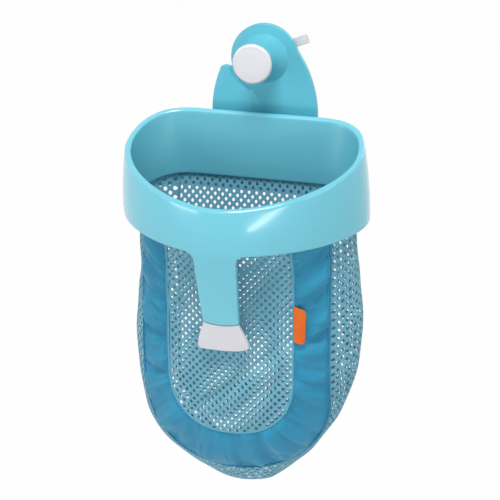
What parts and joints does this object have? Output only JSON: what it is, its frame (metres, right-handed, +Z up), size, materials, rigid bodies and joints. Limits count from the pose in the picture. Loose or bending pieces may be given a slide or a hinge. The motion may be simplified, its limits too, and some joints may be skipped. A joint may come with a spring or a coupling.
{
  "type": "bath toy organizer",
  "caption": "Wall-hung bath toy organizer: a mesh bag on a rigid D-shaped scoop with a handle, hung on a bracket that a twist-lock suction cup holds.",
  "frame": {"origin": "centre of the suction cup's flat face, on the wall", "axes": "+Y into the wall, square to the suction cup's face, +Z up, +X to the right for someone who faces the wall"},
  "size_m": [0.2586, 0.1947, 0.4884],
  "materials": {
    "bracket_plastic": "satin-gloss turquoise moulding",
    "rim_plastic": "glossy light turquoise moulding",
    "white_plastic": "satin white moulding",
    "clear_vinyl": "soft translucent vinyl",
    "steel": "zinc-plated",
    "brass": "machined",
    "woven_fabric": "plain-weave polyester, slightly shiny",
    "mesh_fabric": "knitted mesh with staggered oval holes",
    "binding_tape": "folded binding tape",
    "label_fabric": "blank woven label"
  },
  "bodies": {
    "bracket": {"bracket_plate": "bracket_plastic", "suction_cup": "clear_vinyl", "thrust_washer": "white_plastic"},
    "stud": {"cup_stud": "steel"},
    "knob": {"lock_knob": "white_plastic", "knob_insert": "brass", "knob_cap": "white_plastic"},
    "scoop": {"scoop_rim": "rim_plastic", "handle_tip": "white_plastic", "bag_ring": "white_plastic", "ring_screw_1": "steel", "ring_screw_2": "steel", "ring_screw_3": "steel", "ring_screw_4": "steel", "ring_screw_5": "steel", "ring_screw_6": "steel", "ring_screw_7": "steel", "ring_screw_8": "steel", "bag_hem": "woven_fabric", "bag_front_mesh": "mesh_fabric", "bag_front_panel": "woven_fabric", "bag_gusset": "mesh_fabric", "bag_back_panel": "mesh_fabric", "window_binding": "binding_tape", "front_seam_binding": "woven_fabric", "back_seam_binding": "woven_fabric", "label_tab": "label_fabric"}
  },
  "joints": [
    {"name": "knob_twist", "type": "hinge", "parent": "bracket", "child": "knob", "pos_m": [0, -0.055, 0], "axis": [0, 1, 0], "range_deg": [0, 180]},
    {"name": "stud_draw", "type": "slide", "parent": "bracket", "child": "stud", "axis": [0, -1, 0], "range_m": [0, 0.003], "deforming": ["suction_cup"]},
    {"name": "scoop_lift", "type": "slide", "parent": "bracket", "child": "scoop", "axis": [0, 0, 1], "range_m": [0, 0.032]}
  ],
  "couplings": [
    {"joint": "stud_draw", "follows": "knob_twist", "m_per_rad": 0.0009549}
  ]
}
